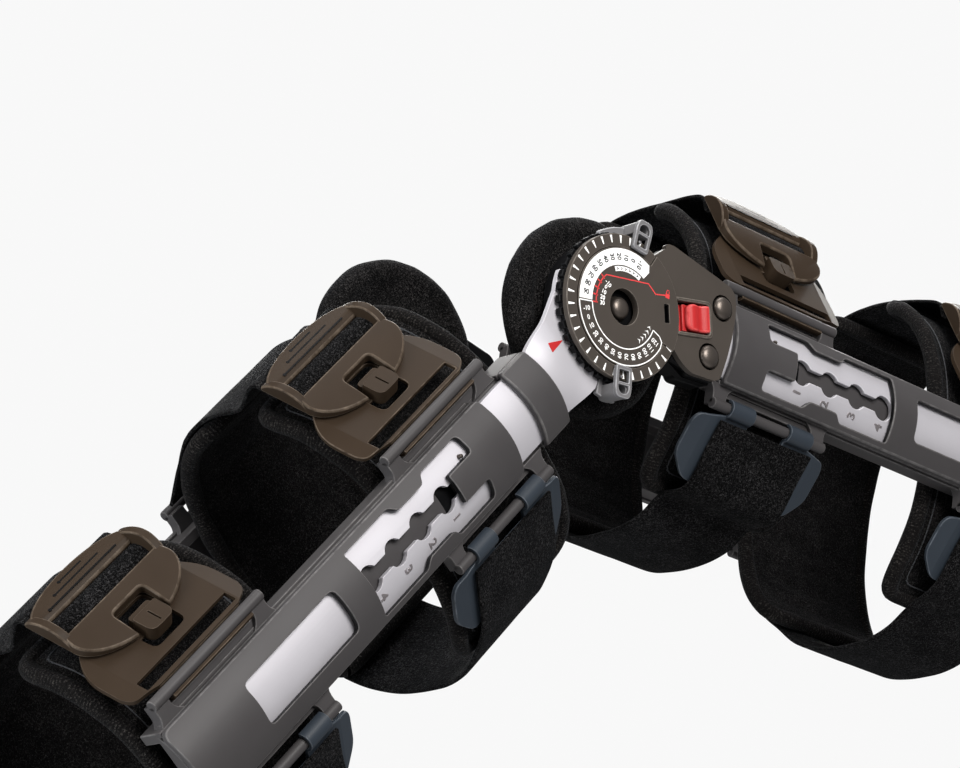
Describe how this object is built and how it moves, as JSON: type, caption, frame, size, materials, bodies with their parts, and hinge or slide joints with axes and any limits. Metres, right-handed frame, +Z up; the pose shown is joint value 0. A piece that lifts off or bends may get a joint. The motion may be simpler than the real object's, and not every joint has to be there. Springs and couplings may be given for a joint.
{
  "type": "hinged knee brace",
  "caption": "Hinged knee brace: dial hinges with range-of-motion stops and locks, telescoping side bars, padded cuffs and buckled straps round thigh and shin.",
  "frame": {"origin": "the knee centre, midway between the two hinge axes", "axes": "+X forwards past the knee in line with the thigh, which lies along -X; +Y to the left, the buckle side, along the hinge axis; +Z up, towards the front of the thigh"},
  "size_m": [0.5383, 0.1848, 0.3809],
  "materials": {
    "cover": "fine moulded texture",
    "black_plastic": "satin",
    "sleeve": "fine moulded texture",
    "tab": "satin",
    "lock": "semi-gloss",
    "rivet": "gunmetal",
    "bar": "satin",
    "plush": "brushed plush",
    "strap": "hook and loop",
    "buckle": "fine moulded texture"
  },
  "bodies": {
    "thigh_frame": {"left_hinge_cover": "cover", "left_toothed_ring": "black_plastic", "left_hinge_base": "black_plastic", "left_pivot_rivet": "rivet", "left_front_rivet": "rivet", "left_back_rivet": "rivet", "left_condyle_pad": "plush", "left_thigh_bar": "bar", "right_hinge_cover": "cover", "right_toothed_ring": "black_plastic", "right_hinge_base": "black_plastic", "right_pivot_rivet": "rivet", "right_front_rivet": "rivet", "right_back_rivet": "rivet", "right_condyle_pad": "plush", "right_thigh_bar": "bar"},
    "shin_frame": {"left_shin_bar": "bar", "right_shin_bar": "bar"},
    "thigh_cuffs": {"left_thigh_sleeve": "sleeve", "lower_thigh_left_pad": "plush", "upper_thigh_left_pad": "plush", "right_thigh_sleeve": "sleeve", "lower_thigh_right_pad": "plush", "upper_thigh_right_pad": "plush", "lower_thigh_front_strap": "strap", "lower_thigh_back_strap": "strap", "lower_thigh_buckle_plate": "buckle", "lower_thigh_buckle": "buckle", "lower_thigh_back_clip": "buckle", "upper_thigh_front_strap": "strap", "upper_thigh_back_strap": "strap", "upper_thigh_buckle_plate": "buckle", "upper_thigh_buckle": "buckle", "upper_thigh_back_clip": "buckle"},
    "shin_cuffs": {"left_shin_sleeve": "sleeve", "upper_shin_left_pad": "plush", "lower_shin_left_pad": "plush", "right_shin_sleeve": "sleeve", "upper_shin_right_pad": "plush", "lower_shin_right_pad": "plush", "upper_shin_front_strap": "strap", "upper_shin_back_strap": "strap", "upper_shin_buckle_plate": "buckle", "upper_shin_buckle": "buckle", "upper_shin_back_clip": "buckle", "lower_shin_front_strap": "strap", "lower_shin_back_strap": "strap", "lower_shin_buckle_plate": "buckle", "lower_shin_buckle": "buckle", "lower_shin_back_clip": "buckle"},
    "left_lock": {"left_lock_slider": "lock"},
    "left_extension": {"left_extension_stop": "tab"},
    "left_flexion": {"left_flexion_stop": "tab"},
    "right_lock": {"right_lock_slider": "lock"},
    "right_extension": {"right_extension_stop": "tab"},
    "right_flexion": {"right_flexion_stop": "tab"}
  },
  "joints": [
    {"name": "knee", "type": "hinge", "parent": "thigh_frame", "child": "shin_frame", "pos_m": [0, 0, 0], "axis": [0, 1, 0], "range_deg": [-54, 0]},
    {"name": "thigh_length", "type": "slide", "parent": "thigh_frame", "child": "thigh_cuffs", "axis": [-1, 0, 0], "range_m": [0, 0.0522]},
    {"name": "shin_length", "type": "slide", "parent": "shin_frame", "child": "shin_cuffs", "axis": [0.5878, 0, -0.809], "range_m": [0, 0.0522]},
    {"name": "left_lock_slide", "type": "slide", "parent": "thigh_frame", "child": "left_lock", "axis": [0.9781, 0, -0.2079], "range_m": [0, 0.0034]},
    {"name": "left_extension_set", "type": "hinge", "parent": "thigh_frame", "child": "left_extension", "pos_m": [0, 0, 0], "axis": [0, -1, 0], "range_deg": [0, 10]},
    {"name": "left_flexion_set", "type": "hinge", "parent": "thigh_frame", "child": "left_flexion", "pos_m": [0, 0, 0], "axis": [0, 1, 0], "range_deg": [0, 50]},
    {"name": "right_lock_slide", "type": "slide", "parent": "thigh_frame", "child": "right_lock", "axis": [0.9781, 0, -0.2079], "range_m": [0, 0.0034]},
    {"name": "right_extension_set", "type": "hinge", "parent": "thigh_frame", "child": "right_extension", "pos_m": [0, 0, 0], "axis": [0, -1, 0], "range_deg": [0, 10]},
    {"name": "right_flexion_set", "type": "hinge", "parent": "thigh_frame", "child": "right_flexion", "pos_m": [0, 0, 0], "axis": [0, 1, 0], "range_deg": [0, 50]}
  ]
}
